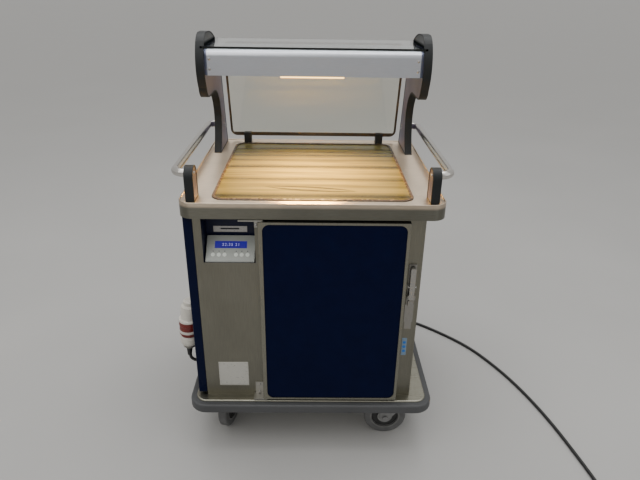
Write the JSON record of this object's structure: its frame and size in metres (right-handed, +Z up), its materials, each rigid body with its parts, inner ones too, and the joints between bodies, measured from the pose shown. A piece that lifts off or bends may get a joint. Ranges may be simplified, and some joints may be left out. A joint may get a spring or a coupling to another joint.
{
  "type": "hostess trolley",
  "caption": "Heated serving trolley with glass food guard, heat lamp bridge, warming cupboard with hinged door, side handles, bumper, swivel casters and mains lead.",
  "frame": {"origin": "centre of the trolley's plan on the floor", "axes": "+X to the user's right, +Y to the back, +Z up; the door faces -Y"},
  "size_m": [1.4372, 1.3572, 1.3501],
  "materials": {
    "worktop_steel": "satin",
    "steel": "satin",
    "polished_steel": "polished",
    "liner_steel": "satin",
    "navy": "gloss",
    "lilac_grey": "satin",
    "black_rubber": "matte",
    "bumper_rubber": "matte",
    "aluminium": "satin",
    "reflector": "polished",
    "quartz": "gloss",
    "glass": "gloss",
    "plate": "gloss",
    "bead": "satin",
    "heater": "matte",
    "foam": "matte",
    "black_plastic": "matte",
    "fascia": "satin",
    "display": "gloss",
    "button": "satin",
    "grey_tyre": "matte",
    "zinc": "satin",
    "white_plastic": "gloss",
    "cord": "matte"
  },
  "bodies": {
    "trolley": {"worktop": "worktop_steel", "serving_plate": "plate", "plate_bead": "bead", "plate_heater": "heater", "left_cheek": "lilac_grey", "right_cheek": "lilac_grey", "front_posts": "lilac_grey", "edge_trims": "black_rubber", "side_handles": "polished_steel", "bridge_profile": "aluminium", "bridge_brackets": "aluminium", "screws": "polished_steel", "lamp_reflector": "reflector", "heat_lamps": "quartz", "top_glass": "glass", "rear_glass": "glass", "glass_clamps": "black_plastic", "carcass": "steel", "column_panel": "steel", "inner_liner": "liner_steel", "insulation": "foam", "left_side_panel": "navy", "racks_and_shelves": "liner_steel", "chamber_heater": "heater", "control_box": "steel", "control_fascia": "fascia", "display": "display", "hinge_arms": "polished_steel", "latch_base": "steel", "deck_tray": "steel", "chassis": "zinc", "bumper": "bumper_rubber", "caster_plates": "zinc", "mains_inlet": "white_plastic", "connector": "white_plastic", "power_cord": "cord", "cord_coil": "cord", "plug": "white_plastic"},
    "door": {"door_shell": "steel", "door_inset": "navy", "door_back": "liner_steel", "door_gasket": "black_rubber", "door_keeper": "polished_steel"},
    "latch": {"latch_lever": "polished_steel"},
    "front_left_caster": {"front_left_fork": "zinc"},
    "front_left_wheel": {"front_left_wheel": "grey_tyre"},
    "front_right_caster": {"front_right_fork": "zinc"},
    "front_right_wheel": {"front_right_wheel": "grey_tyre"},
    "rear_left_caster": {"rear_left_fork": "zinc"},
    "rear_left_wheel": {"rear_left_wheel": "grey_tyre"},
    "rear_left_brake": {"rear_left_pedal": "black_plastic"},
    "rear_right_caster": {"rear_right_fork": "zinc"},
    "rear_right_wheel": {"rear_right_wheel": "grey_tyre"},
    "rear_right_brake": {"rear_right_pedal": "black_plastic"},
    "key_1": {"button_1": "button"},
    "key_2": {"button_2": "button"},
    "key_3": {"button_3": "button"},
    "key_4": {"button_4": "button"},
    "key_5": {"button_5": "button"},
    "key_6": {"button_6": "button"}
  },
  "joints": [
    {"name": "door_hinge", "type": "hinge", "parent": "trolley", "child": "door", "pos_m": [-0.12076, -0.3485, 0.54], "axis": [0, 0, -1], "range_deg": [0, 175]},
    {"name": "latch_pivot", "type": "hinge", "parent": "trolley", "child": "latch", "pos_m": [0.34024, -0.3385, 0.609], "axis": [1, 0, 0], "range_deg": [0, 60]},
    {"name": "front_left_swivel", "type": "hinge", "parent": "trolley", "child": "front_left_caster", "pos_m": [-0.28076, -0.2675, 0.165], "axis": [0, 0, 1], "continuous": true},
    {"name": "front_left_roll", "type": "hinge", "parent": "front_left_caster", "child": "front_left_wheel", "pos_m": [-0.26987, -0.22384, 0.075], "axis": [0.9703, -0.2419, 0], "continuous": true},
    {"name": "front_right_swivel", "type": "hinge", "parent": "trolley", "child": "front_right_caster", "pos_m": [0.34324, -0.2675, 0.165], "axis": [0, 0, 1], "continuous": true},
    {"name": "front_right_roll", "type": "hinge", "parent": "front_right_caster", "child": "front_right_wheel", "pos_m": [0.29824, -0.2675, 0.075], "axis": [0, 1, 0], "continuous": true},
    {"name": "rear_left_swivel", "type": "hinge", "parent": "trolley", "child": "rear_left_caster", "pos_m": [-0.28076, 0.2795, 0.165], "axis": [0, 0, 1], "continuous": true},
    {"name": "rear_left_roll", "type": "hinge", "parent": "rear_left_caster", "child": "rear_left_wheel", "pos_m": [-0.28076, 0.2345, 0.075], "axis": [1, 0, 0], "continuous": true},
    {"name": "rear_left_brake_press", "type": "hinge", "parent": "rear_left_caster", "child": "rear_left_brake", "pos_m": [-0.28076, 0.2215, 0.161], "axis": [1, 0, 0], "range_deg": [0, 12]},
    {"name": "rear_right_swivel", "type": "hinge", "parent": "trolley", "child": "rear_right_caster", "pos_m": [0.34324, 0.2795, 0.165], "axis": [0, 0, 1], "continuous": true},
    {"name": "rear_right_roll", "type": "hinge", "parent": "rear_right_caster", "child": "rear_right_wheel", "pos_m": [0.34324, 0.2345, 0.075], "axis": [1, 0, 0], "continuous": true},
    {"name": "rear_right_brake_press", "type": "hinge", "parent": "rear_right_caster", "child": "rear_right_brake", "pos_m": [0.34324, 0.2215, 0.161], "axis": [1, 0, 0], "range_deg": [0, 12]},
    {"name": "key_1_press", "type": "slide", "parent": "trolley", "child": "key_1", "axis": [0, 0.6769, -0.7361], "range_m": [0, 0.0008], "stiffness_N_per_m": 400, "springref_m": -0.0003},
    {"name": "key_2_press", "type": "slide", "parent": "trolley", "child": "key_2", "axis": [0, 0.6769, -0.7361], "range_m": [0, 0.0008], "stiffness_N_per_m": 400, "springref_m": -0.0003},
    {"name": "key_3_press", "type": "slide", "parent": "trolley", "child": "key_3", "axis": [0, 0.6769, -0.7361], "range_m": [0, 0.0008], "stiffness_N_per_m": 400, "springref_m": -0.0003},
    {"name": "key_4_press", "type": "slide", "parent": "trolley", "child": "key_4", "axis": [0, 0.6769, -0.7361], "range_m": [0, 0.0008], "stiffness_N_per_m": 400, "springref_m": -0.0003},
    {"name": "key_5_press", "type": "slide", "parent": "trolley", "child": "key_5", "axis": [0, 0.6769, -0.7361], "range_m": [0, 0.0008], "stiffness_N_per_m": 400, "springref_m": -0.0003},
    {"name": "key_6_press", "type": "slide", "parent": "trolley", "child": "key_6", "axis": [0, 0.6769, -0.7361], "range_m": [0, 0.0008], "stiffness_N_per_m": 400, "springref_m": -0.0003}
  ]
}
